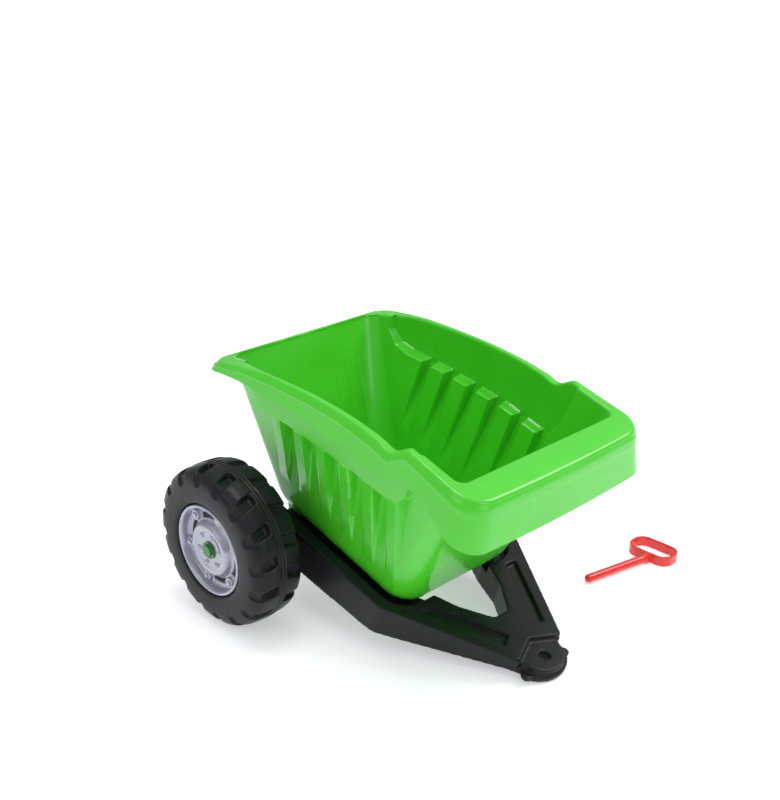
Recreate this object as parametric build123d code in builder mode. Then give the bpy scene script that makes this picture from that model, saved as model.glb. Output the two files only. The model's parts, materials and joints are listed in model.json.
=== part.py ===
from build123d import *
from math import asin, atan2, degrees, sqrt
import os

# Tipping trailer for a ride-on toy tractor, with its loose hitch pin.
#
# Every piece of the trailer is drawn level: X forward to the hitch, Y to the left, Z up, with
# the wheel axis on the Y axis.  REST then tilts the trailer nose down about that axis until the
# hitch touches the ground, which is how it stands when it is uncoupled.  The ground is Z = 0
# and the origin is on the ground below the middle of the axle.

# ---- driving dimensions, mm -------------------------------------------------------------
wheel_radius = 105.0
wheel_inner_y = 153.0
wheel_outer_y = 227.0
pocket_radius = 97.0         # floor of the pockets pressed into the tread
pocket_count = 16            # on each half of the tread
pocket_slant = 6.5           # lead of a pocket's inner end over its open end at the shoulder
hub_radius = 59.5
hub_turn = 27.0              # of the first bolt on each hub, above the horizontal
bolt_count = 6
bolt_ring = 47.0
dome_ring = 20.6

axle_radius = 4.0
running_clearance = 0.06
axle_half_length = 221.0

plastic = 3.0                # wall of the moulded tub
floor_z = 10.0               # underside of the tub, above the axle line
floor_rear_x = -28.0
floor_front_x = 214.0
floor_half_y = 99.0
mouth_z = 272.0              # level at which the sloping walls are measured again
rear_slope = 0.62            # lean of each wall, mm outward per mm of height
front_slope = 0.205
side_slope = 0.145
wall_corner = 36.0
floor_round = 24.0

lip_z = 264.0
lip_front_x = 303.0
rim_rear_x = -102.0         # of the rim's rear end, at the level of the lip
rim_rear_y = 130.0
rim_front_y = 147.0
rim_rear_flare = 0.35
rim_front_flare = 0.30
rim_rear_corner = 22.0
rim_front_corner = 38.0
skirt_flare = 0.22

panel_y = 138.0              # outer face of the panel along the top of each side
ridge_count = 5              # ridges below each panel; the flutes are the gaps between them
ridge_first_x = -4.0
ridge_pitch = 40.5
ridge_width = 19.0
ridge_lean = 6.0             # how far a ridge's foot is ahead of its top
ridge_top_z = 163.5          # where the first ridge leaves the panel, and the rise to the next
ridge_top_rise = 4.3
ridge_foot_z = 64.0          # where the first ridge dies into the wall
ridge_foot_drop = 3.0
rib_count = 9

rail_top_z = 24.0
deck_z = floor_z - 0.4
rail_outer_y = 128.0
rail_ridge_y = 108.0
rail_inner_y = 72.0
kink_x = 200.0
beam_rear_x = -9.0
beam_front_x = 22.0
eye_x = 362.0
eye_radius = 7.0
nose_radius = 27.0
platform_top_z = 18.0
platform_bottom_z = 3.0
flange_top_z = 10.0          # flange round the hitch at the mould's parting line
flange_width = 4.0
ear_half_y = 41.0

lug_plate_y = 80.0           # hinge lugs under the tub
lug_plate_width = 16.0
hinge_radius = 9.4

spacer_radius = 10.0
pin_radius = 6.0
pin_length = 106.0
grip_width = 76.0
grip_depth = 40.0
strap_width = 14.0
strap_thick = 4.0

nose_x = eye_x + nose_radius
pitch = degrees(asin(wheel_radius / sqrt(nose_x ** 2 + platform_bottom_z ** 2)))
pitch -= degrees(atan2(-platform_bottom_z, nose_x))
REST = Location((0, 0, wheel_radius)) * Location((0, 0, 0), (0, pitch, 0))

parts = {}


def keep(name, part, placed=REST):
    """Stand a finished piece in its resting place and write it to its own file."""
    part = part.moved(placed)
    part.label = name
    parts[name] = part


def box_outline(x0, x1, half_y, corner):
    """A rounded rectangle from x0 to x1 in the sketch's own X direction."""
    with Locations(((x0 + x1) / 2, 0)):
        RectangleRounded(x1 - x0, 2 * half_y, corner)


# ---- tub -----------------------------------------------------------------------------------
def wall_body(inset):
    """The space inside the tub's sloping walls, drawn inset from their outer faces."""
    low = floor_z + inset
    with BuildPart() as body:
        for z in (low, mouth_z):
            height = z - floor_z
            with BuildSketch(Plane.XY.offset(z)):
                box_outline(
                    floor_rear_x - rear_slope * height + inset * sqrt(1 + rear_slope ** 2),
                    floor_front_x + front_slope * height - inset * sqrt(1 + front_slope ** 2),
                    floor_half_y + side_slope * height - inset * sqrt(1 + side_slope ** 2),
                    wall_corner - inset,
                )
        loft(ruled=True)
        bottom = body.faces().sort_by(Axis.Z)[0]
        fillet(bottom.edges(), floor_round - inset)
    return body.part


def side_panel(inset, side):
    """The shallow upper panel that stands proud of one side wall."""
    outer_y = panel_y - inset
    with BuildPart() as panel:
        with BuildSketch(Plane.XZ.offset(-side * 100.0)):
            with BuildLine():
                Polyline(
                    (-97 + inset, mouth_z),
                    (-97 + inset, 200),
                    (-90 + inset, 168 + inset),
                    (-66 + inset, 157 + inset),
                    (-50, 157 + inset),
                    (120, 180 + inset),
                    (180 - inset, 177 + inset),
                    (193 - inset, 184 + inset),
                    (200 - inset, 200 + inset),
                    (208 - inset, mouth_z),
                    (-97 + inset, mouth_z),
                )
            make_face()
        extrude(amount=-side * (outer_y - 100.0))
    return panel.part


def ridge(index, side, inset):
    """One ridge below a panel: flush with the panel at its top, dying into the wall at its foot."""
    middle = ridge_first_x + index * ridge_pitch
    half = ridge_width / 2 - inset
    top_z = ridge_top_z + index * ridge_top_rise
    foot_z = ridge_foot_z - index * ridge_foot_drop
    foot_y = floor_half_y + side_slope * (foot_z - floor_z)
    with BuildPart() as wedge:
        with BuildSketch(Plane.XZ.offset(-side * 90.0)):
            with BuildLine():
                Polyline(
                    (middle - half, 190), (middle + half, 190),
                    (middle + half + ridge_lean, 40), (middle - half + ridge_lean, 40),
                    (middle - half, 190),
                )
            make_face()
        extrude(amount=-side * (panel_y - inset - 90.0))
        slope = Plane(
            origin=(0, side * (foot_y - inset), foot_z),
            x_dir=(1, 0, 0),
            z_dir=(0, side * (top_z - foot_z), foot_y - panel_y),
        )
        split(bisect_by=slope, keep=Keep.BOTTOM)
    return wedge.part


def rim_top(lift=0.0):
    """Side outline of the tub's upper edge: a long arch, then the step up to the front lip."""
    with BuildLine() as line:
        arch = Spline(
            (-150, 168 + lift), (-65, 204 + lift), (60, 237 + lift), (170, 249 + lift),
            tangents=[(1, 0.5), (1, 0)],
        )
        step = Spline(
            arch @ 1, (180, 256 + lift), (194, lip_z + lift),
            tangents=[(1, 0), (1, 0)],
        )
        Polyline(
            step @ 1, (400, lip_z + lift), (400, 400), (-260, 400), (-260, 113 + lift), arch @ 0,
        )
    return line.wires()[0]


def above_rim(lift=0.0):
    """Everything above the tub's upper edge, for trimming."""
    with BuildPart() as waste:
        with BuildSketch(Plane.XZ.offset(220.0)):
            add(make_face(rim_top(lift)))
        extrude(amount=-440.0)
    return waste.part


def below_skirt():
    """Everything below the lower edge of the turned-down rim."""
    with BuildPart() as waste:
        with BuildSketch(Plane.XZ.offset(220.0)):
            with BuildLine():
                low = Spline(
                    (-170, 148), (-125, 164), (-30, 191), (100, 212), (178, 219),
                    tangents=[(1, 0.4), (1, 0.1)],
                )
                hump = Spline(
                    low @ 1, (206, 231), (240, 226), (285, 213), (345, 210),
                    tangents=[(1, 0.1), (1, 0)],
                )
                Polyline(hump @ 1, (345, 100), (-170, 100), low @ 0)
            make_face()
        extrude(amount=-440.0)
    return waste.part


def rim_prism(inset):
    """A tapering prism whose faces are the outside of the turned-down rim."""
    with BuildPart() as prism:
        for z in (140.0, 280.0):
            drop = lip_z - z
            rear = rim_rear_x - rim_rear_flare * drop + inset
            front = lip_front_x + rim_front_flare * drop - inset
            rear_y = rim_rear_y + skirt_flare * drop - inset
            front_y = rim_front_y + skirt_flare * drop - inset
            with BuildSketch(Plane.XY.offset(z)) as outline:
                with BuildLine():
                    Polyline(
                        (rear, -rear_y), (front, -front_y), (front, front_y), (rear, rear_y),
                        (rear, -rear_y),
                    )
                make_face()
                rear_corners = outline.vertices().group_by(Axis.X)[0]
                fillet(rear_corners, rim_rear_corner)
                front_corners = outline.vertices().group_by(Axis.X)[-1]
                fillet(front_corners, rim_front_corner)
        loft(ruled=True)
    return prism.part


tub_outer = wall_body(0.0)
tub_inner = wall_body(plastic)
for hand in (1, -1):
    tub_outer += side_panel(0.0, hand)
    tub_inner += side_panel(plastic, hand)
for hand in (1, -1):
    for number in range(ridge_count):
        tub_outer += ridge(number, hand, 0.0)
        tub_inner += ridge(number, hand, plastic)

rim_outside = rim_prism(0.0)
rim_inside = rim_prism(plastic)
rim = (rim_outside - rim_inside - below_skirt()) + (rim_outside - tub_inner & above_rim(-plastic))
tub_solid = (tub_outer - tub_inner) + rim - tub_inner - above_rim()

with BuildPart() as rear_ribs:
    lean = degrees(atan2(rear_slope, 1.0))
    for number in range(rib_count):
        rib_y = (number - (rib_count - 1) / 2) * 20.0
        with BuildSketch(Plane(
            origin=(floor_rear_x - rear_slope * 30 + 0.5, rib_y, floor_z + 30),
            x_dir=(0, 1, 0),
            z_dir=(-rear_slope, 0, 1),
        )):
            with Locations((0, 0.6)):
                Circle(2.6)
        extrude(amount=138.0)

with BuildPart() as hinge_lugs:
    for hand in (1, -1):
        with BuildSketch(Plane.XZ.offset(-(hand * lug_plate_y + lug_plate_width / 2))):
            Circle(hinge_radius)
            with Locations((2, 9)):
                Rectangle(26, 12)
        extrude(amount=lug_plate_width)

with BuildPart() as tub:
    add(tub_solid)
    add(rear_ribs.part - tub_inner)
    add(hinge_lugs.part - tub_inner)
    with Locations(Location((0, 0, 0), (90, 0, 0))):
        Cylinder(axle_radius + running_clearance, 2 * rail_outer_y, mode=Mode.SUBTRACT)
keep("tub", tub.part)

# ---- chassis -------------------------------------------------------------------------------
with BuildPart() as chassis:
    # side view: deep by the axle, rising to the thin hitch plate
    with BuildSketch(Plane.XZ.offset(rail_outer_y)):
        with BuildLine():
            Polyline(
                (beam_rear_x, rail_top_z), (nose_x + 5, rail_top_z), (nose_x + 5, platform_bottom_z),
                (345, platform_bottom_z), (232, -15), (180, -22), (36, -31), (beam_rear_x, -31),
                (beam_rear_x, rail_top_z),
            )
        make_face()
    extrude(amount=-2 * rail_outer_y)
    # plan view: straight rails, then the two arms that meet at the hitch
    with BuildSketch(Plane.XY.offset(-60)) as plan:
        with BuildLine():
            Polyline(
                (358, -37), (kink_x, -rail_outer_y + 3), (beam_rear_x - 1, -rail_outer_y),
                (beam_rear_x - 1, rail_outer_y), (kink_x, rail_outer_y - 3), (358, 37),
            )
            Line((358, 37), (372, 35))
            ThreePointArc((372, 35), (nose_x, 0), (372, -35))
            Line((372, -35), (358, -37))
        make_face()
        kinks = plan.vertices().group_by(Axis.X)[1]
        fillet(kinks, 24.0)
    extrude(amount=120, mode=Mode.INTERSECT)
    # the hitch plate lies lower than the arms, behind a step that is a V in plan
    with BuildSketch(Plane.XY.offset(platform_top_z)):
        Polygon(
            (336, 0), (352, 36), (352, 60), (400, 60), (400, -60), (352, -60), (352, -36),
            align=None,
        )
    extrude(amount=30, mode=Mode.SUBTRACT)
    # all round it, a thin flange stands proud of the plate above
    with BuildSketch(Plane.XY.offset(flange_top_z)):
        Polygon((354, 60), (400, 60), (400, -60), (354, -60), align=None)
        with BuildLine():
            Polyline((352, -38 + flange_width), (370, -33 + flange_width))
            ThreePointArc(
                (370, -33 + flange_width), (nose_x - flange_width, 0), (370, 33 - flange_width),
            )
            Polyline((370, 33 - flange_width), (352, 38 - flange_width), (352, -38 + flange_width))
        make_face(mode=Mode.SUBTRACT)
    extrude(amount=30, mode=Mode.SUBTRACT)
    with BuildSketch(Plane.XY.offset(platform_bottom_z + 1)):
        with Locations((367, 0)):
            RectangleRounded(13, 2 * ear_half_y, 5)
    extrude(amount=flange_top_z - platform_bottom_z - 1)
    # the triangle between the rails
    with BuildSketch(Plane.XY.offset(-60)) as gap:
        with BuildLine():
            Polyline(
                (beam_front_x, -rail_inner_y), (184, -rail_inner_y + 3), (209, -55), (251, -38),
                (288, -12), (288, 12), (251, 38), (209, 55), (184, rail_inner_y - 3),
                (beam_front_x, rail_inner_y), (beam_front_x, -rail_inner_y),
            )
        make_face()
        fillet(gap.vertices(), 9.0)
    extrude(amount=120, mode=Mode.SUBTRACT)
    # the deck that the tub rests in, rounded at the rear so that the tub can turn past it
    with BuildSketch(Plane.XY.offset(deck_z)):
        box_outline(beam_rear_x - 60, 220, rail_ridge_y, 34)
    extrude(amount=40, mode=Mode.SUBTRACT)
    rear_edges = chassis.edges().filter_by(Axis.Y).filter_by_position(
        Axis.Z, deck_z - 0.1, deck_z + 0.1).filter_by_position(
        Axis.X, beam_rear_x - 0.1, beam_rear_x + 0.1)
    fillet(rear_edges, -beam_rear_x - 0.3)
    # pressed channels along both arms
    for hand in (1, -1):
        with BuildSketch(Plane.XY.offset(rail_top_z - 5)):
            with BuildLine():
                Polyline(
                    (232, hand * 88), (232, hand * 70), (318, hand * 20), (327, hand * 37),
                    (232, hand * 88),
                )
            make_face()
        extrude(amount=10, mode=Mode.SUBTRACT)
    # hitch eye
    with Locations((eye_x, 0, (platform_top_z + platform_bottom_z) / 2)):
        Cylinder(eye_radius, 60, mode=Mode.SUBTRACT)
    # bores through both rails and an open channel along the beam for the axle rod
    with Locations(Location((0, 0, 0), (90, 0, 0))):
        Cylinder(axle_radius + running_clearance, 2 * rail_outer_y + 2, mode=Mode.SUBTRACT)
    with Locations((-10, 0, 20)):
        Box(20 + 2 * axle_radius, 2 * rail_inner_y, 40, mode=Mode.SUBTRACT)
    # notches that the tub's hinge lugs turn in
    with Locations((0, lug_plate_y, 2), (0, -lug_plate_y, 2)):
        Box(36, lug_plate_width + 1.2, 40, mode=Mode.SUBTRACT)
keep("chassis", chassis.part)


# ---- axle -----------------------------------------------------------------------------------
with BuildPart() as axle_rod:
    with Locations(Location((0, 0, 0), (90, 0, 0))):
        Cylinder(axle_radius, 2 * axle_half_length)
    chamfer(axle_rod.edges().filter_by(GeomType.CIRCLE), 0.8)
keep("axle_rod", axle_rod.part)


def ring(inner, outer, start_y, end_y, bevel):
    """A plain collar about the wheel axis, from start_y to end_y on the left side."""
    with BuildPart() as collar:
        with BuildSketch(Plane.XZ.offset(-start_y)):
            Circle(outer)
            Circle(inner, mode=Mode.SUBTRACT)
        extrude(amount=-(end_y - start_y))
        outer_edges = collar.edges().filter_by(GeomType.CIRCLE).sort_by(SortBy.RADIUS)[-2:]
        chamfer(outer_edges, bevel)
    return collar.part


def both_sides(name, left_part):
    """Keep a piece for the left wheel and its mirror image for the right one."""
    keep(name + "_left", left_part)
    keep(name + "_right", mirror(left_part, about=Plane.XZ))


axle_fit = axle_radius + running_clearance
both_sides("axle_spacer", ring(axle_fit, spacer_radius, rail_outer_y + 0.2, wheel_inner_y - 0.6, 1.0))
both_sides("axle_nut", ring(axle_radius, 8.0, 212.2, 213.8, 0.4))

# ---- wheels ---------------------------------------------------------------------------------
bush_radius = 9.0
hub_seat_y = 212.0
hub_channel_y = 214.5
hub_face_y = 223.5
tread_seam_y = (wheel_inner_y + wheel_outer_y) / 2
pocket_turn = 360.0 / pocket_count


def wheel_blank():
    """The moulded tyre and rim in one: a turned body with stepped faces on both sides."""
    with BuildPart() as blank:
        with BuildSketch(Plane.XY):
            with BuildLine():
                Polyline(
                    (bush_radius, wheel_inner_y + 2), (24, wheel_inner_y + 2),
                    (26, wheel_inner_y + 9), (44, wheel_inner_y + 9), (47, wheel_inner_y + 4),
                    (60, wheel_inner_y + 4), (64, wheel_inner_y + 1), (85, wheel_inner_y),
                    (94, wheel_inner_y + 2), (100, wheel_inner_y + 6),
                    (wheel_radius - 1.5, wheel_inner_y + 12), (wheel_radius - 0.4, tread_seam_y - 5),
                    (wheel_radius, tread_seam_y), (wheel_radius - 0.4, tread_seam_y + 5),
                    (wheel_radius - 1.5, wheel_outer_y - 12), (100, wheel_outer_y - 6),
                    (94, wheel_outer_y - 2), (85, wheel_outer_y), (66, wheel_outer_y - 0.5),
                    (hub_radius + 1, wheel_outer_y - 3), (hub_radius + 0.4, hub_seat_y),
                    (bush_radius, hub_seat_y), (bush_radius, wheel_inner_y + 2),
                )
            make_face()
        revolve(axis=Axis.Y)
        # the sealed hollow that blow moulding leaves inside
        with BuildSketch(Plane.XY):
            with BuildLine():
                Polyline(
                    (29, wheel_inner_y + 13), (60, wheel_inner_y + 8), (86, wheel_inner_y + 7),
                    (pocket_radius - 4, tread_seam_y), (86, wheel_outer_y - 7),
                    (hub_radius + 5, wheel_outer_y - 8), (hub_radius - 3, hub_seat_y - 4),
                    (29, hub_seat_y - 4), (29, wheel_inner_y + 13),
                )
            make_face()
        revolve(axis=Axis.Y, mode=Mode.SUBTRACT)
    return blank.part


def tread_pocket(outer_side):
    """The space of one slanted pocket, open at the shoulder and closed towards the seam."""
    edge_y = wheel_outer_y + 1 if outer_side else wheel_inner_y - 1
    seam_y = tread_seam_y + (5.0 if outer_side else -5.0)
    with BuildPart() as pocket:
        for radius, half in ((pocket_radius, 4.5), (wheel_radius + 1, 7.0)):
            with BuildSketch(Plane.XY.offset(radius)):
                with BuildLine():
                    Polyline(
                        (-half, edge_y), (half, edge_y), (half - pocket_slant, seam_y),
                        (-half - pocket_slant, seam_y), (-half, edge_y),
                    )
                make_face()
        loft(ruled=True)
    return pocket.part


with BuildPart() as wheel:
    add(wheel_blank())
    for outer_side in (True, False):
        half_turn = 0.0 if outer_side else pocket_turn / 2
        pattern = [
            Location((0, 0, 0), (0, half_turn + number * pocket_turn, 0))
            for number in range(pocket_count)
        ]
        with Locations(*pattern):
            add(tread_pocket(outer_side), mode=Mode.SUBTRACT)
both_sides("wheel", wheel.part)

slot_turn = 180.0 / bolt_count
with BuildPart() as hubcap:
    with BuildSketch(Plane.XY):
        with BuildLine():
            Polyline(
                (8.5, 214), (16, 214), (18, 212.3), (36, 212.3), (56, 212.3),
                (hub_radius, 213), (hub_radius, hub_face_y + 0.5), (hub_radius - 1.5, hub_face_y + 2),
                (hub_radius - 5, hub_face_y + 1), (53, hub_channel_y), (38, hub_channel_y),
                (33, hub_face_y - 1), (30, hub_face_y + 0.5), (23, hub_face_y - 1.5),
                (8.5, hub_face_y - 2), (8.5, 214),
            )
        make_face()
    revolve(axis=Axis.Y)
    with BuildSketch(Plane.XZ.offset(-205)):
        with PolarLocations(44.5, bolt_count, start_angle=hub_turn + slot_turn):
            SlotOverall(27, 6.5, rotation=90)
    extrude(amount=-30, mode=Mode.SUBTRACT)
    with BuildSketch(Plane.XZ.offset(-hub_channel_y + 0.5)):
        with PolarLocations(bolt_ring, bolt_count, start_angle=hub_turn):
            Circle(6.5)
    extrude(amount=-3.5)
    with BuildSketch(Plane.XZ.offset(-(hub_face_y - 4))):
        with PolarLocations(dome_ring, bolt_count, start_angle=hub_turn):
            Circle(2.6)
    extrude(amount=-4)
both_sides("hubcap", hubcap.part)

with BuildPart() as hub_bolts:
    with BuildSketch(Plane.XZ.offset(-(hub_channel_y + 3.0))):
        with PolarLocations(bolt_ring, bolt_count, start_angle=hub_turn):
            Circle(3.6)
    extrude(amount=-2.6)
    domes = hub_bolts.edges().filter_by(GeomType.CIRCLE).group_by(Axis.Y)[-1]
    fillet(domes, 1.6)
both_sides("hub_bolts", hub_bolts.part)

with BuildPart() as centre_cap:
    with BuildSketch(Plane.XZ.offset(-214.2)):
        Circle(8.45)
    extrude(amount=-8.0)
    with BuildSketch(Plane.XZ.offset(-221.8)):
        Circle(11.2)
    extrude(amount=-1.8)
    with BuildSketch(Plane.XZ.offset(-223.6)):
        RegularPolygon(9.0, 6)
    extrude(amount=-3.2, taper=12)
    with Locations(Location((0, 218, 0), (90, 0, 0))):
        Cylinder(5.5, 9, mode=Mode.SUBTRACT)
both_sides("centre_cap", centre_cap.part)

both_sides("bush_inner", ring(axle_fit, bush_radius, wheel_inner_y, wheel_inner_y + 22, 0.5))
both_sides("bush_outer", ring(axle_fit, bush_radius, hub_seat_y - 20, hub_seat_y, 0.5))

# ---- hitch pin ------------------------------------------------------------------------------
# Drawn with its shaft along X and the grip at +X, then laid on the ground beside the hitch.
pin_axis_z = strap_width / 2
grip_cant = 14.0
pin_yaw = 78.0
PIN_REST = Location((291.0, 297.0, 0), (0, 0, pin_yaw))

with BuildPart() as hitch_pin:
    with BuildSketch(Plane.YZ.offset(-pin_length)) as shaft_end:
        with Locations((0, pin_axis_z)):
            Circle(pin_radius)
    extrude(amount=pin_length)
    fillet(hitch_pin.edges().group_by(Axis.X)[0], pin_radius - 0.6)
    with BuildSketch(Plane.YZ.offset(-3)):
        with Locations((0, pin_axis_z)):
            Circle(strap_width / 2)
    extrude(amount=5)
    with BuildSketch(Plane.YZ):
        with Locations((0, pin_axis_z)):
            Rectangle(9, strap_width)
    extrude(amount=9)
    with BuildSketch():
        with Locations(Location((grip_depth / 2 + 5, 8, 0), (0, 0, grip_cant))):
            RectangleRounded(grip_depth, grip_width - 8, grip_depth / 2 - 3)
            RectangleRounded(
                grip_depth - 2 * strap_thick, grip_width - 8 - 2 * strap_thick,
                grip_depth / 2 - 3 - strap_thick, mode=Mode.SUBTRACT,
            )
    extrude(amount=strap_width)
keep("hitch_pin", hitch_pin.part, PIN_REST)

# ---- export -----------------------------------------------------------------------------
os.makedirs("parts", exist_ok=True)
for name, part in parts.items():
    export_step(part, f"parts/{name}.step")
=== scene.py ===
import json
import math

import bmesh
import bpy
import numpy as np
from mathutils import Matrix, Vector


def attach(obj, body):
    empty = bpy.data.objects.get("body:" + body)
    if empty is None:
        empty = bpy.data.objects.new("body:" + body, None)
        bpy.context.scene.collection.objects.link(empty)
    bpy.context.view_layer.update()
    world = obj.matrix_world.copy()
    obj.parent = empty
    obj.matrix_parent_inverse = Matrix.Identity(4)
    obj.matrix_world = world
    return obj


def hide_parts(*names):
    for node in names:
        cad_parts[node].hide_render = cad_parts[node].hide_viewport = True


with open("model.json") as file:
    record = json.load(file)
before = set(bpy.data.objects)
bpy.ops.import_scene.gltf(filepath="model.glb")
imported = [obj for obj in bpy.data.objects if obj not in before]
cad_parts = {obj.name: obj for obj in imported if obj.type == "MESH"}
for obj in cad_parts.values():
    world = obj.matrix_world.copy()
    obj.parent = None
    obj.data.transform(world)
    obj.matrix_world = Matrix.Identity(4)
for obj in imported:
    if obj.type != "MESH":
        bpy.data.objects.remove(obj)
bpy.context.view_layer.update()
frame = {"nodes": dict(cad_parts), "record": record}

# Shapes are drawn as the CAD draws them: level, in millimetres, X to the hitch, Y to the left,
# Z up, with the wheel axis along Y through the origin.  to_row() lays a point down in the row's
# frame, where the trailer rests nose down on its hitch and lengths are in metres.
WHEEL_RADIUS = 105.0
NOSE_X, NOSE_Z = 389.0, 3.0
PITCH = math.asin(WHEEL_RADIUS / math.hypot(NOSE_X, NOSE_Z)) + math.atan2(NOSE_Z, NOSE_X)
TO_ROW = (
    Matrix.Scale(0.001, 4)
    @ Matrix.Translation((0, 0, WHEEL_RADIUS))
    @ Matrix.Rotation(PITCH, 4, "Y")
)
AXIS = np.array(TO_ROW.to_3x3())
AXLE = np.array(TO_ROW.translation)


def to_row(points):
    return np.asarray(points, float) @ AXIS.T + AXLE


# ---- curves and masks ------------------------------------------------------------------------
def ease(low, high, x):
    """0 up to low, 1 from high on, and a smooth run between; low may be the greater."""
    t = np.clip((x - low) / (high - low), 0.0, 1.0)
    return t * t * (3 - 2 * t)


def curve(points):
    """A smooth function through (x, y) points."""
    xs, ys = np.array(points, float).T
    slopes = np.gradient(ys, xs)

    def value(x):
        x = np.clip(x, xs[0], xs[-1])
        i = np.clip(np.searchsorted(xs, x) - 1, 0, len(xs) - 2)
        span = xs[i + 1] - xs[i]
        t = (x - xs[i]) / span
        return (
            (2 * t**3 - 3 * t**2 + 1) * ys[i]
            + (t**3 - 2 * t**2 + t) * span * slopes[i]
            + (3 * t**2 - 2 * t**3) * ys[i + 1]
            + (t**3 - t**2) * span * slopes[i + 1]
        )

    return value


def outside(x, z, corners):
    """Distance from each (x, z) to a polygon, negative inside it."""
    pts = np.array(corners, float)
    nearest = np.full(np.shape(x), 1e9)
    inside = np.zeros(np.shape(x), bool)
    for (ax, az), (bx, bz) in zip(pts, np.roll(pts, -1, axis=0)):
        ex, ez = bx - ax, bz - az
        t = np.clip(((x - ax) * ex + (z - az) * ez) / (ex * ex + ez * ez), 0, 1)
        nearest = np.minimum(nearest, np.hypot(x - ax - t * ex, z - az - t * ez))
        crosses = (az > z) != (bz > z)
        with np.errstate(divide="ignore", invalid="ignore"):
            hit = x < ex * (z - az) / ez + ax
        inside ^= crosses & hit
    return np.where(inside, -nearest, nearest)


# ---- meshes ----------------------------------------------------------------------------------
def new_piece(name, verts, faces, material, body, replaced):
    """One smooth-shaded object riding a body, from points in drawing millimetres."""
    mesh = bpy.data.meshes.new(name)
    mesh.from_pydata(to_row(verts).tolist(), [], faces)
    mesh.polygons.foreach_set("use_smooth", [True] * len(mesh.polygons))
    tidy = bmesh.new()
    tidy.from_mesh(mesh)
    bmesh.ops.remove_doubles(tidy, verts=tidy.verts, dist=2e-6)
    bmesh.ops.recalc_face_normals(tidy, faces=tidy.faces)
    tidy.to_mesh(mesh)
    tidy.free()
    mesh.materials.append(material)
    piece = bpy.data.objects.new(name, mesh)
    bpy.context.scene.collection.objects.link(piece)
    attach(piece, body)
    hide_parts(replaced)
    return piece


def quads(rows, cols, closed=False):
    """Faces of a grid of points stored row by row; each row is a ring, and so is a closed grid."""
    found = []
    for r in range(rows if closed else rows - 1):
        for c in range(cols):
            a, b = r * cols + c, r * cols + (c + 1) % cols
            d, e = ((r + 1) % rows) * cols + c, ((r + 1) % rows) * cols + (c + 1) % cols
            found.append((a, b, e, d))
    return found


def sharpen(piece, degrees):
    """Split shading across edges sharper than the given angle."""
    piece.data.set_sharp_from_angle(angle=math.radians(degrees))


# ---- materials -------------------------------------------------------------------------------
def plastic(name, colour, dark, roughness, grain, grain_size, coat=0.0, metallic=0.0, gloss=0.5):
    """Moulded plastic: cloudy pigment, uneven gloss, fine grain and faint scuffs."""
    mat = bpy.data.materials.new(name)
    mat.use_nodes = True
    nodes, links = mat.node_tree.nodes, mat.node_tree.links
    shader = nodes["Principled BSDF"]
    shader.inputs["Metallic"].default_value = metallic
    shader.inputs["Coat Weight"].default_value = coat
    shader.inputs["Coat Roughness"].default_value = 0.12
    shader.inputs["Specular IOR Level"].default_value = gloss

    where = nodes.new("ShaderNodeTexCoord")

    def noise(scale, detail, stretch=(1, 1, 1)):
        mapping = nodes.new("ShaderNodeMapping")
        mapping.inputs["Scale"].default_value = stretch
        links.new(where.outputs["Object"], mapping.inputs["Vector"])
        tex = nodes.new("ShaderNodeTexNoise")
        tex.inputs["Scale"].default_value = scale
        tex.inputs["Detail"].default_value = detail
        links.new(mapping.outputs["Vector"], tex.inputs["Vector"])
        return tex.outputs["Fac"]

    def ramp(value, low, high, a, b):
        stretch = nodes.new("ShaderNodeMapRange")
        stretch.inputs["From Min"].default_value = low
        stretch.inputs["From Max"].default_value = high
        stretch.inputs["To Min"].default_value = a
        stretch.inputs["To Max"].default_value = b
        links.new(value, stretch.inputs["Value"])
        return stretch.outputs["Result"]

    cloud = noise(14.0, 4.0)
    mix = nodes.new("ShaderNodeMix")
    mix.data_type = "RGBA"
    mix.inputs["A"].default_value = (*dark, 1)
    mix.inputs["B"].default_value = (*colour, 1)
    links.new(ramp(cloud, 0.3, 0.6, 0.0, 1.0), mix.inputs["Factor"])
    links.new(mix.outputs["Result"], shader.inputs["Base Color"])

    scuff = noise(60.0, 6.0, (1.0, 6.0, 2.0))
    uneven = nodes.new("ShaderNodeMath")
    uneven.operation = "ADD"
    links.new(ramp(cloud, 0.3, 0.7, roughness - 0.03, roughness + 0.03), uneven.inputs[0])
    links.new(ramp(scuff, 0.66, 0.80, 0.0, 0.05), uneven.inputs[1])
    links.new(uneven.outputs["Value"], shader.inputs["Roughness"])

    bump = nodes.new("ShaderNodeBump")
    bump.inputs["Strength"].default_value = grain
    bump.inputs["Distance"].default_value = 0.0003
    links.new(noise(grain_size, 3.0), bump.inputs["Height"])
    links.new(bump.outputs["Normal"], shader.inputs["Normal"])
    return mat


BLACK, DEEP_BLACK = (0.010, 0.010, 0.013), (0.006, 0.006, 0.008)

GREEN = plastic(
    "tub_green", (0.070, 0.60, 0.020), (0.062, 0.56, 0.017), 0.26, 0.05, 260.0, coat=0.3
)
FRAME_BLACK = plastic(
    "frame_black", BLACK, DEEP_BLACK, 0.36, 0.35, 1400.0, coat=0.12, gloss=0.2
)
WHEEL_BLACK = plastic("wheel_black", BLACK, DEEP_BLACK, 0.40, 0.4, 1500.0, coat=0.08, gloss=0.2)
SILVER = plastic(
    "hub_silver", (0.40, 0.41, 0.48), (0.35, 0.36, 0.42), 0.26, 0.1, 1800.0,
    coat=0.4, metallic=0.6,
)
CAP_GREEN = plastic(
    "cap_green", (0.015, 0.17, 0.015), (0.010, 0.13, 0.010), 0.25, 0.1, 900.0, coat=0.4
)
RED = plastic("red", (0.80, 0.025, 0.015), (0.68, 0.018, 0.01), 0.28, 0.08, 700.0, coat=0.3)
STEEL = plastic("steel", (0.56, 0.57, 0.6), (0.4, 0.41, 0.43), 0.3, 0.15, 900.0, metallic=1.0)
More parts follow.
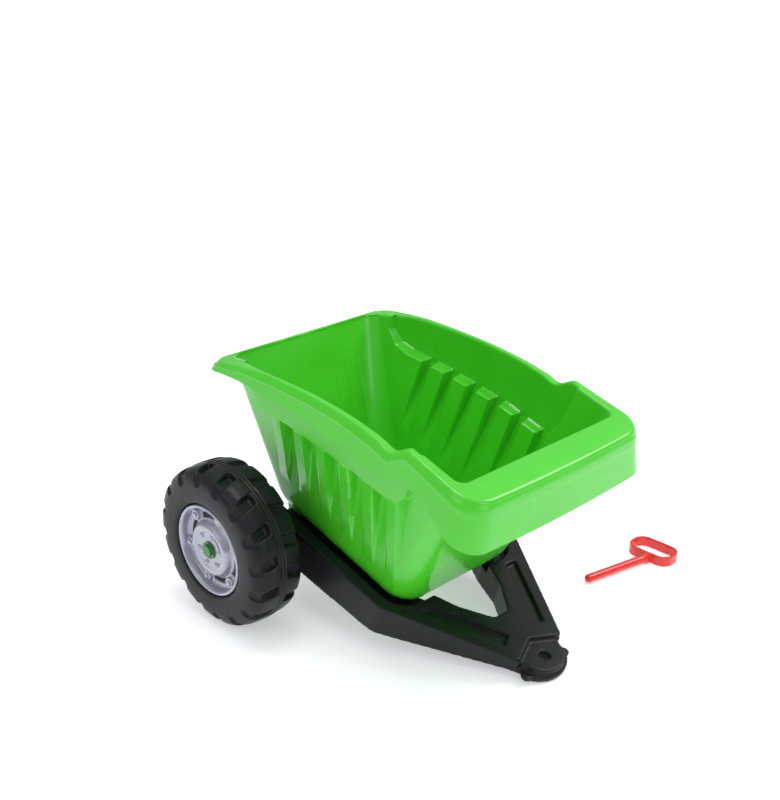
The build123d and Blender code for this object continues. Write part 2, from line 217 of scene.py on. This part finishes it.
BUSH_BLACK = plastic("bush_black", (0.03, 0.03, 0.032), (0.02, 0.02, 0.022), 0.5, 0.2, 1200.0)

BY_SLOT = {
    "tub_green": GREEN, "frame_black": FRAME_BLACK, "wheel_black": WHEEL_BLACK,
    "hub_silver": SILVER, "cap_green": CAP_GREEN, "red": RED, "steel": STEEL,
    "bush_black": BUSH_BLACK,
}
for part in frame["record"]["subparts"]:
    node = frame["nodes"][part["node"]]
    for slot in node.material_slots:
        slot.material = BY_SLOT[part["material_slot"]]

# ---- tub -------------------------------------------------------------------------------------
PLASTIC = 3.0
FLOOR_Z = 10.0
FLOOR_REAR_X, FLOOR_FRONT_X, FLOOR_HALF_Y = -28.0, 214.0, 99.0
REAR_SLOPE, FRONT_SLOPE, SIDE_SLOPE = 0.62, 0.205, 0.145       # outward, per mm of height
REAR_WIDTH, FRONT_WIDTH, SIDE_WIDTH = 1.18, 1.02, 1.01    # of a gap, level over square to the wall
WALL_CORNER, CORNER_TAPER = 36.0, 0.085
FLOOR_FILLET = 24.0

LIP_Z = 264.0
RIM_REAR_X, RIM_FRONT_X = -102.0, 303.0         # at the level of the lip, like the next two
RIM_REAR_Y, RIM_FRONT_Y = 130.0, 149.0
RIM_REAR_CORNER, RIM_FRONT_CORNER = 22.0, 32.0
RIM_REAR_FLARE, RIM_FRONT_FLARE, RIM_SIDE_FLARE = 0.35, 0.30, 0.22
LIP_BOW = 4.0
RIM_ROUND = 6.0
RIM_PLASTIC = 2.6

PANEL_Y = 138.0
RIBS, RIB_PITCH, RIB_WIDTH, RIB_RISE = 9, 20.0, 2.2, 1.6       # up the rear wall

side_arch = curve([
    (-165, 161), (-130, 177), (-65, 204), (0, 223), (60, 237), (110, 245), (172, 249),
])
# lower edge of the turned-down rim: it hangs lower round the front lip
skirt_low = curve([
    (-170, 146), (-129, 165), (-76, 182), (-31, 191), (38, 204), (103, 212), (150, 216),
    (182, 221), (201, 230), (229, 230), (258, 223), (285, 214), (310, 210), (345, 209),
])
# outline, in (x, z), of the panel that stands proud along the top of each side
PANEL = [
    (-99, 300), (-98, 200), (-90, 172), (-72, 159), (-50, 157), (9, 167), (70, 174), (120, 179),
    (176, 178), (192, 184), (201, 200), (205, 230), (209, 300),
]
PANEL_EDGE = np.array(PANEL[1:-2]).T            # its lower edge, from rear to front
RIDGES = 6
RIDGE_FIRST_X, RIDGE_PITCH, RIDGE_HALF, RIDGE_LEAN = -14.0, 39.8, 9.0, 6.0
# where the first ridge leaves the panel and where it dies into the wall, and the change to the next
RIDGE_TOP_Z, RIDGE_TOP_RISE = 163.5, 4.3
RIDGE_FOOT_Z, RIDGE_FOOT_DROP = 64.0, 3.0
# x of the grid columns that stand behind the first ridge and ahead of the last
FIRST_COLUMN_X, LAST_COLUMN_X = -42.0, 198.0


def rim_top(x):
    """Height of the tub's upper edge: the sides' arch, a small dip, then the front lip."""
    step = ease(172, 196, x)
    dip = 2.5 * np.exp(-(((x - 168) / 9) ** 2))
    return side_arch(x) * (1 - step) + LIP_Z * step - dip


def columns(side, corner, end):
    """Where the grid's columns stand round the tub.

    Each column is (along, across, turn): which pair of corner centres it stands between, as
    shares from rear to front and from right to left, and the way it faces.
    """
    quarter = np.linspace(0, 90, corner, endpoint=False)
    along_ends = np.linspace(-1, 1, end, endpoint=False)
    along_sides = np.linspace(0, 1, side, endpoint=False)
    found = []
    found += [(1, a, 0) for a in along_ends]
    found += [(1, 1, q) for q in quarter]
    found += [(1 - a, 1, 90) for a in along_sides]
    found += [(0, 1, 90 + q) for q in quarter]
    found += [(0, -a, 180) for a in along_ends]
    found += [(0, -1, 180 + q) for q in quarter]
    found += [(a, -1, 270) for a in along_sides]
    found += [(1, -1, 270 + q) for q in quarter]
    return np.array(found, float).T


ALONG, ACROSS, TURN = columns(side=300, corner=16, end=64)
TURN = np.radians(TURN)
ON_SIDE = np.abs(np.sin(TURN)) > 0.999
# shares of a side's length between which its columns follow the ridges
FIRST_BAND, LAST_BAND = 0.16, 0.86


def ring_at(rear, front, half_rear, half_front, r_rear, r_front, lean=None):
    """One point per column on a rounded outline; lean holds the side columns along two lines."""
    radius = r_rear + (r_front - r_rear) * ALONG
    half = half_rear + (half_front - half_rear) * ALONG
    start, end = rear + r_rear, front - r_front
    x = start * (1 - ALONG) + end * ALONG
    if lean is not None:
        first = np.maximum(lean[0], start + 4.0)
        last = np.minimum(lean[1], end - 3.0)
        middle = first + (last - first) * (ALONG - FIRST_BAND) / (LAST_BAND - FIRST_BAND)
        behind = start + (first - start) * ALONG / FIRST_BAND
        ahead = last + (end - last) * (ALONG - LAST_BAND) / (1 - LAST_BAND)
        kept = np.where(ALONG < FIRST_BAND, behind, np.where(ALONG > LAST_BAND, ahead, middle))
        x = np.where(ON_SIDE, kept, x)
    x = x + radius * np.cos(TURN)
    y = (half - radius) * ACROSS + radius * np.sin(TURN)
    return x, y


def wall(z, inset):
    """The tub's wall, one height for each column."""
    height = z - FLOOR_Z
    depth = height - inset
    bend = FLOOR_FILLET - inset
    curl = np.clip(bend - depth, 0, bend)
    pull = bend - np.sqrt(np.maximum(bend**2 - curl**2, 0))
    gap = inset + pull
    half = FLOOR_HALF_Y + SIDE_SLOPE * height - gap * SIDE_WIDTH
    radius = np.maximum(WALL_CORNER - CORNER_TAPER * height - gap, 4)
    lean = RIDGE_LEAN * np.clip((200 - z) / 170, 0, 1)
    x, y = ring_at(
        FLOOR_REAR_X - REAR_SLOPE * height + gap * REAR_WIDTH,
        FLOOR_FRONT_X + FRONT_SLOPE * height - gap * FRONT_WIDTH,
        half, half, radius, radius, (FIRST_COLUMN_X + lean, LAST_COLUMN_X + lean),
    )
    side = np.sign(y)
    reach = np.abs(y)
    faces_side = np.abs(np.sin(TURN)) ** 3

    # the panel along the top, and the ridges that run down from it and die into the wall;
    # the flutes are the gaps between them
    raised = outside(x, z - 0.5 * inset, PANEL)
    for i in range(RIDGES):
        middle = RIDGE_FIRST_X + RIDGE_PITCH * i
        ridge = [
            (middle - RIDGE_HALF, 200), (middle + RIDGE_HALF, 200),
            (middle + RIDGE_HALF + RIDGE_LEAN, 30), (middle - RIDGE_HALF + RIDGE_LEAN, 30),
        ]
        raised = np.minimum(raised, outside(x, z, ridge))
    count = (x - RIDGE_FIRST_X) / RIDGE_PITCH
    top_z = RIDGE_TOP_Z + RIDGE_TOP_RISE * count
    foot_z = RIDGE_FOOT_Z - RIDGE_FOOT_DROP * count
    foot_y = FLOOR_HALF_Y + SIDE_SLOPE * (foot_z - FLOOR_Z)
    slope = (PANEL_Y - foot_y) / (top_z - foot_z)
    proud = PANEL_Y - inset - slope * np.maximum(top_z - z, 0)
    share = ease(1.4, -1.4, raised + 0.6 * inset) * faces_side
    share *= 0.35 + 0.65 * ease(-110, -45, x)     # the panel is shallower towards the rear
    reach = reach + np.maximum(proud - reach, 0) * share
    y = side * reach

    # fine ribs up the rear wall
    faces_rear = np.clip(-np.cos(TURN), 0, 1) ** 4
    for i in range(RIBS):
        middle = (i - RIBS // 2) * RIB_PITCH
        rib = np.exp(-(((y - middle) / RIB_WIDTH) ** 2)) * ease(22, 40, z) * ease(150, 128, z)
        x = x - RIB_RISE * rib * faces_rear
    return x, y


def settle(height_at):
    """Solve for the height, one for each column, that height_at gives back unchanged."""
    z = np.full(ALONG.shape, 230.0)
    for _ in range(60):
        z = 0.5 * z + 0.5 * height_at(z)
    return z


def rim_ring(z, inset=0.0):
    """The outside of the turned-down rim, one height for each column."""
    drop = LIP_Z - z
    x, y = ring_at(
        RIM_REAR_X - RIM_REAR_FLARE * drop + inset, RIM_FRONT_X + RIM_FRONT_FLARE * drop - inset,
        RIM_REAR_Y + RIM_SIDE_FLARE * drop - inset, RIM_FRONT_Y + RIM_SIDE_FLARE * drop - inset,
        RIM_REAR_CORNER - inset, RIM_FRONT_CORNER - inset,
    )
    bow = LIP_BOW * (y / 150) ** 2 * ease(150, 280, x)
    return x - bow, y


def stack(x, y, z):
    return np.stack([x, y, z + np.zeros_like(x)], axis=-1)


def tub_rows():
    """The tub as one closed grid: up the inside, over the rim, under it and down the outside."""
    def climb(inset):
        top = settle(lambda z: rim_top(wall(z, inset)[0])) - 3.5
        low = FLOOR_Z + inset
        bend = FLOOR_FILLET - inset
        levels = [low + bend * (1 - math.cos(math.radians(a))) for a in range(0, 90, 12)]
        zs = [np.full(ALONG.shape, level) for level in levels]
        # rows crowd together along the lower edge of the panel, where the wall steps out
        step = np.interp(wall(np.full(ALONG.shape, 170.0), inset)[0], *PANEL_EDGE)
        step = np.minimum(step, top - 14)
        stretches = [(low + bend, step - 4, 52), (step - 4, step + 4, 14), (step + 4, top, 40)]
        for start, end, count in stretches:
            zs += [start + (end - start) * t for t in np.linspace(0, 1, count, endpoint=False)]
        zs.append(top)
        return [stack(*wall(z, inset), z) for z in zs]

    rows = climb(PLASTIC)
    outer = climb(0.0)

    edge = rows[-1]
    bend_z = settle(lambda z: rim_top(rim_ring(z)[0]))
    far = stack(*rim_ring(bend_z), bend_z)
    width = np.hypot(far[:, 0] - edge[:, 0], far[:, 1] - edge[:, 1])[:, None]

    def across(share, rise):
        """A point on the rim's top, a share of the way out; rise is measured from its surface."""
        p = edge + (far - edge) * share
        p[:, 2] = rim_top(p[:, 0]) + rise
        return p

    def from_edge(distance):
        """A distance in mm as a share of the rim's width."""
        return np.minimum(distance / np.maximum(width, 1.0), 0.3)

    rows.append(across(from_edge(0.9), -1.0))
    rows.append(across(from_edge(2.6), 0.0))
    for share in (0.4, 0.55):
        rows.append(across(share, 0.0))
    for angle in range(0, 90, 15):
        angle = math.radians(angle)
        distance = RIM_ROUND * (1 - math.sin(angle))
        rows.append(across(1 - from_edge(distance), RIM_ROUND * (math.cos(angle) - 1)))

    low_z = settle(lambda z: skirt_low(rim_ring(z)[0]))
    skirt_z = bend_z - RIM_ROUND
    for share in np.concatenate([[0.0, 0.08, 0.14, 0.19], np.linspace(0.24, 1.0, 12)]):
        z = skirt_z + (low_z - skirt_z) * share
        bead = 0.6 * math.exp(-(((share - 0.16) / 0.05) ** 2))
        rows.append(stack(*rim_ring(z, -bead), z))
    under = low_z + 0.2
    rows.append(stack(*rim_ring(under, RIM_PLASTIC), under))
    inner_z = bend_z - 3.2
    for share in np.linspace(0.85, 0.0, 6):
        z = inner_z + (low_z - inner_z) * share
        rows.append(stack(*rim_ring(z, RIM_PLASTIC), z))

    last, wall_top = rows[-1], outer[-1]
    for share in (0.35, 0.7):
        p = last + (wall_top - last) * share
        p[:, 2] = rim_top(p[:, 0]) - PLASTIC
        rows.append(p)
    rows += outer[::-1]
    return np.array(rows)


def lug(y, width=16.0, radius=9.4):
    """A hinge lug below the tub's floor, round the axle, as points and faces."""
    turns = np.radians(np.linspace(180, 360, 15))
    profile = [(radius * math.cos(t), radius * math.sin(t)) for t in turns]
    profile += [(radius + 4, FLOOR_Z + 1), (-radius - 4, FLOOR_Z + 1)]
    points = [(x, y + s * width / 2, z) for s in (-1, 1) for x, z in profile]
    n = len(profile)
    faces = [(i, (i + 1) % n, n + (i + 1) % n, n + i) for i in range(n)]
    return points, faces + [tuple(range(n)), tuple(range(2 * n - 1, n - 1, -1))]


grid = tub_rows()
n_rows, n_cols = grid.shape[:2]
tub_points = grid.reshape(-1, 3).tolist()
tub_faces = quads(n_rows, n_cols)
tub_faces.append(tuple(range(n_cols)))
tub_faces.append(tuple(range((n_rows - 1) * n_cols, n_rows * n_cols)))
for lug_y in (-80, 80):
    lug_points, lug_faces = lug(lug_y)
    first = len(tub_points)
    tub_points += lug_points
    tub_faces += [tuple(first + i for i in f) for f in lug_faces]
tub = new_piece("tub_shell", tub_points, tub_faces, GREEN, "tub", "tub")
sharpen(tub, 50)

# ---- wheels ----------------------------------------------------------------------------------
TYRE = [
    (9.5, 155), (22, 155), (25, 157), (27, 161), (42, 162), (45, 160), (48, 157), (60, 156.5),
    (63, 154.5), (66, 153.6), (76, 153.2), (85, 153.4), (91, 154.6), (96, 157), (100, 160.5),
    (102.3, 165), (103.6, 171), (104.4, 180), (104.6, 186), (103.9, 187), (104.0, 188.6),
    (104.8, 189.4), (104.8, 190.6), (104.0, 191.4), (103.9, 193), (104.6, 194), (104.4, 200),
    (103.6, 209), (102.3, 215), (100, 219.5), (96, 223), (91, 225.4), (85, 226.6), (76, 226.8),
    (68, 226.4), (63.5, 225.6), (61.4, 224), (60.4, 221), (60, 213), (58, 211.6), (9.5, 211.6),
]
TREAD_SEAM, TREAD_HALF = 190.0, 37.0
POCKETS = 16                  # pressed into each half of the tread
POCKET_FLOOR = 97.0
POCKET_HALF = 7.0
POCKET_END = 91.0             # radius about which its round end is drawn, low on the shoulder
POCKET_LEAD = 0.0022          # radians round the tyre for each mm nearer the seam
TURNS = 640


def refine(profile, step):
    """More points along a profile, no further apart than step."""
    found = []
    for (r0, y0), (r1, y1) in zip(profile, profile[1:]):
        count = max(1, int(math.hypot(r1 - r0, y1 - y0) / step))
        found += [(r0 + (r1 - r0) * k / count, y0 + (y1 - y0) * k / count) for k in range(count)]
    return np.array(found + [profile[-1]])


def tyre_grid():
    """Tyre and rim turned about the axis, with slanted pockets in both halves of the tread."""
    profile = refine(TYRE, 1.6)
    radius, y = profile[:, 0][:, None], profile[:, 1][:, None]
    turn = np.linspace(0, 2 * math.pi, TURNS, endpoint=False)[None, :]
    span = np.abs(y - TREAD_SEAM)
    outward = np.sign(y - TREAD_SEAM)
    shift = np.where(outward > 0, 0.0, 0.5)
    lead = (TREAD_HALF - span) * POCKET_LEAD
    phase = (turn + lead) * POCKETS / (2 * math.pi) + shift
    along = WHEEL_RADIUS * 2 * math.pi / POCKETS * (phase - np.round(phase))    # mm round the tread
    # a pocket is a channel from seam to shoulder with a round end low on the sidewall
    inner_end = POCKET_HALF - span
    outer_end = np.hypot(along, np.maximum(POCKET_END - radius, 0.0) * 1.2) - POCKET_HALF
    edge = np.maximum(outer_end, inner_end)
    open_to = ease(1.6, -1.6, edge) * (radius > 80)
    floor = POCKET_FLOOR + 0.6 * ease(12, 30, span)
    deep = np.minimum(radius, floor) + np.zeros_like(turn)
    r = radius + (deep - radius) * open_to
    sunk = 3.0 * open_to * ease(82, 90, radius) * ease(26, 34, span)
    yy = y - outward * sunk
    return np.stack([r * np.sin(turn), yy, r * np.cos(turn)], axis=-1)


def mirrored(points, side):
    """A copy of the points for the left side (1) or the right one (-1)."""
    points = np.array(points, float)
    points[..., 1] *= side
    return points


tyre = tyre_grid()
for side, name in ((1, "left"), (-1, "right")):
    piece = new_piece(
        f"tyre_{name}", mirrored(tyre, side).reshape(-1, 3), quads(*tyre.shape[:2], closed=True),
        WHEEL_BLACK, f"wheel_{name}", f"wheel_{name}",
    )
    sharpen(piece, 50)

# ---- hubcaps ---------------------------------------------------------------------------------
HUB_RADIUS = 59.4
HUB_BORE = 8.5
HUB_BACK = 212.1
BOLTS, BOLT_RING = 6, 47.0
BOLT_TURN = 27.0              # of the first bolt, in degrees from the trailer's own level
BOSS, BOSS_TOP, BOSS_RISE = 8.0, 218.2, 3.6
DOME_RING, DOME, DOME_RISE = 20.6, 3.3, 2.6
SLOT_RING, SLOT_HALF_WIDTH, SLOT_HALF_LENGTH = 43.2, 3.6, 14.0
SLOT_FLOOR = 212.3            # the slots are open to the black wheel behind
CHANNEL_START, CHANNEL_END = 39.0, 51.0
hub_profile = curve([
    (0, 221.5), (9, 221.5), (14, 221.8), (23, 222.2), (27, 223.6), (30, 224.0), (33, 222.6),
    (37.5, 215.2), (40, 214.6), (50, 214.6), (52.5, 215.6), (55, 223.5), (57, 225.2),
    (58.6, 225.0), (59.4, 223.6),
])


def hub_face(radius, turn):
    """Height of the hubcap's outer surface along Y at a radius and an angle."""
    y = hub_profile(radius) + np.zeros_like(turn)
    x, z = radius * np.cos(turn), radius * np.sin(turn)
    bolts = [math.radians(BOLT_TURN + 360 / BOLTS * i) for i in range(BOLTS)]
    for mid in bolts:
        bend = (turn - mid - math.pi / BOLTS + math.pi) % (2 * math.pi) - math.pi
        slot = np.maximum(
            np.abs(radius - SLOT_RING) - SLOT_HALF_WIDTH,
            np.abs(bend) * SLOT_RING - SLOT_HALF_LENGTH,
        )
        y = y + (SLOT_FLOOR - y) * ease(0.7, -0.7, slot)
    for mid in bolts:
        away = np.hypot(x - BOLT_RING * math.cos(mid), z - BOLT_RING * math.sin(mid))
        boss = BOSS_TOP - BOSS_RISE * ease(BOSS - 1.6, BOSS, away)
        y = np.where(away < BOSS, np.maximum(y, boss), y)
        away = np.hypot(x - DOME_RING * math.cos(mid), z - DOME_RING * math.sin(mid))
        y = y + DOME_RISE * np.sqrt(np.clip(1 - (away / DOME) ** 2, 0, 1))
    return y


def hub_grid(turns=720):
    """The hubcap as a closed grid: its outer face from bore to edge, then its flat back."""
    radius = np.concatenate([np.linspace(HUB_BORE, 57, 120), [58, 58.8, 59.2, HUB_RADIUS]])
    radius = radius[:, None]
    turn = np.linspace(0, 2 * math.pi, turns, endpoint=False)[None, :]
    y = hub_face(radius, turn)
    front = np.stack([radius * np.cos(turn), y, radius * np.sin(turn)], axis=-1)
    back = front[[-1, 0]].copy()
    back[..., 1] = HUB_BACK
    return np.concatenate([front, back], axis=0)


hub = hub_grid()
for side, name in ((1, "left"), (-1, "right")):
    piece = new_piece(
        f"hub_{name}", mirrored(hub, side).reshape(-1, 3),
        quads(*hub.shape[:2], closed=True),
        SILVER, f"wheel_{name}", f"hubcap_{name}",
    )
    piece.data.materials.append(WHEEL_BLACK)
    for polygon in piece.data.polygons:
        x, y, z = (1000 * c for c in polygon.center)
        in_slot = abs(y) < SLOT_FLOOR + 0.4
        on_channel = CHANNEL_START < math.hypot(x, z - WHEEL_RADIUS) < CHANNEL_END
        polygon.material_index = 1 if in_slot and on_channel else 0
    sharpen(piece, 60)

# ---- hitch frame -----------------------------------------------------------------------------
def moulded(name, node, voxel, rounds, material, body):
    """A softly rounded copy of a CAD solid, as blow moulding would leave it."""
    source = frame["nodes"][node]
    piece = bpy.data.objects.new(name, source.data.copy())
    bpy.context.scene.collection.objects.link(piece)
    piece.data.transform(source.matrix_world)
    remesh = piece.modifiers.new("skin", "REMESH")
    remesh.mode = "VOXEL"
    remesh.voxel_size = voxel
    relax = piece.modifiers.new("soften", "SMOOTH")
    relax.factor = 0.5
    relax.iterations = rounds
    ready = bpy.data.meshes.new_from_object(
        piece.evaluated_get(bpy.context.evaluated_depsgraph_get())
    )
    piece.modifiers.clear()
    piece.data = ready
    piece.data.materials.clear()
    piece.data.materials.append(material)
    piece.data.polygons.foreach_set("use_smooth", [True] * len(piece.data.polygons))
    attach(piece, body)
    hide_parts(node)
    return piece


moulded("frame_shell", "chassis", 0.0014, 5, FRAME_BLACK, "chassis")
moulded("pin_shell", "hitch_pin", 0.0007, 3, RED, "pin")

# ---- floor, light, camera ---------------------------------------------------------------------
FLOOR_HALF = 30               # metres

floor_mesh = bpy.data.meshes.new("floor")
floor_mesh.from_pydata(
    [
        (-FLOOR_HALF, -FLOOR_HALF, 0), (FLOOR_HALF, -FLOOR_HALF, 0),
        (FLOOR_HALF, FLOOR_HALF, 0), (-FLOOR_HALF, FLOOR_HALF, 0),
    ],
    [], [(0, 1, 2, 3)],
)
floor = bpy.data.objects.new("floor", floor_mesh)
bpy.context.scene.collection.objects.link(floor)
floor_mat = bpy.data.materials.new("floor_white")
floor_mat.use_nodes = True
floor_shader = floor_mat.node_tree.nodes["Principled BSDF"]
floor_shader.inputs["Base Color"].default_value = (0.93, 0.93, 0.95, 1)
floor_shader.inputs["Roughness"].default_value = 0.9
floor_shader.inputs["Emission Color"].default_value = (0.96, 0.97, 1.0, 1)
floor_shader.inputs["Emission Strength"].default_value = 0.42
floor_mesh.materials.append(floor_mat)

world = bpy.data.worlds.new("studio")
world.use_nodes = True
sky_nodes, sky_links = world.node_tree.nodes, world.node_tree.links
sky_nodes["Background"].inputs["Color"].default_value = (0.97, 0.98, 1.0, 1)
direction = sky_nodes.new("ShaderNodeTexCoord")
split = sky_nodes.new("ShaderNodeSeparateXYZ")
sky_links.new(direction.outputs["Generated"], split.inputs["Vector"])
brighter_above = sky_nodes.new("ShaderNodeMapRange")
brighter_above.inputs["From Min"].default_value = 0.0
brighter_above.inputs["From Max"].default_value = 0.9
brighter_above.inputs["To Min"].default_value = 0.25
brighter_above.inputs["To Max"].default_value = 0.85
sky_links.new(split.outputs["Z"], brighter_above.inputs["Value"])
sky_links.new(brighter_above.outputs["Result"], sky_nodes["Background"].inputs["Strength"])
bpy.context.scene.world = world
bpy.context.scene.view_settings.view_transform = "Standard"


def softbox(name, place, target, size, power):
    """A rectangular area light that faces its target."""
    light = bpy.data.lights.new(name, "AREA")
    light.shape = "RECTANGLE"
    light.size, light.size_y = size
    light.energy = power
    lamp = bpy.data.objects.new(name, light)
    lamp.location = place
    lamp.rotation_euler = (Vector(target) - Vector(place)).to_track_quat("-Z", "Y").to_euler()
    bpy.context.scene.collection.objects.link(lamp)


MIDDLE = (0.12, 0, 0.14)
softbox("key", (0.9, 1.5, 1.9), MIDDLE, (1.0, 1.0), 18)
softbox("front", (1.9, -0.1, 0.9), MIDDLE, (0.7, 0.9), 3)
softbox("side", (0.1, -1.9, 1.3), MIDDLE, (1.4, 0.8), 4)
softbox("top", (0.1, 0.0, 2.2), MIDDLE, (0.8, 0.8), 12)

# The camera stands where the photograph's perspective puts it.
CAMERA_AT = Vector((1.0224, -0.9242, 0.8244))
LOOK = Vector((-0.62334, 0.62915, -0.46434))
RIGHT = Vector((0.70470, 0.70934, 0.01511))
SENSOR = 24.0
FOCAL_SHARE = 1.4447          # focal length over the picture's height
AXIS_SHIFT = (-0.0125, 0.1188)

camera_data = bpy.data.cameras.new("camera")
camera_data.sensor_fit = "VERTICAL"
camera_data.sensor_height = camera_data.sensor_width = SENSOR
camera_data.lens = SENSOR * FOCAL_SHARE
camera_data.shift_x, camera_data.shift_y = AXIS_SHIFT
camera = bpy.data.objects.new("camera", camera_data)
back = -LOOK.normalized()
side_way = (RIGHT - RIGHT.dot(back) * back).normalized()
turn_to = Matrix((side_way, back.cross(side_way), back)).transposed().to_4x4()
camera.matrix_world = Matrix.Translation(CAMERA_AT) @ turn_to
bpy.context.scene.collection.objects.link(camera)
bpy.context.scene.camera = camera
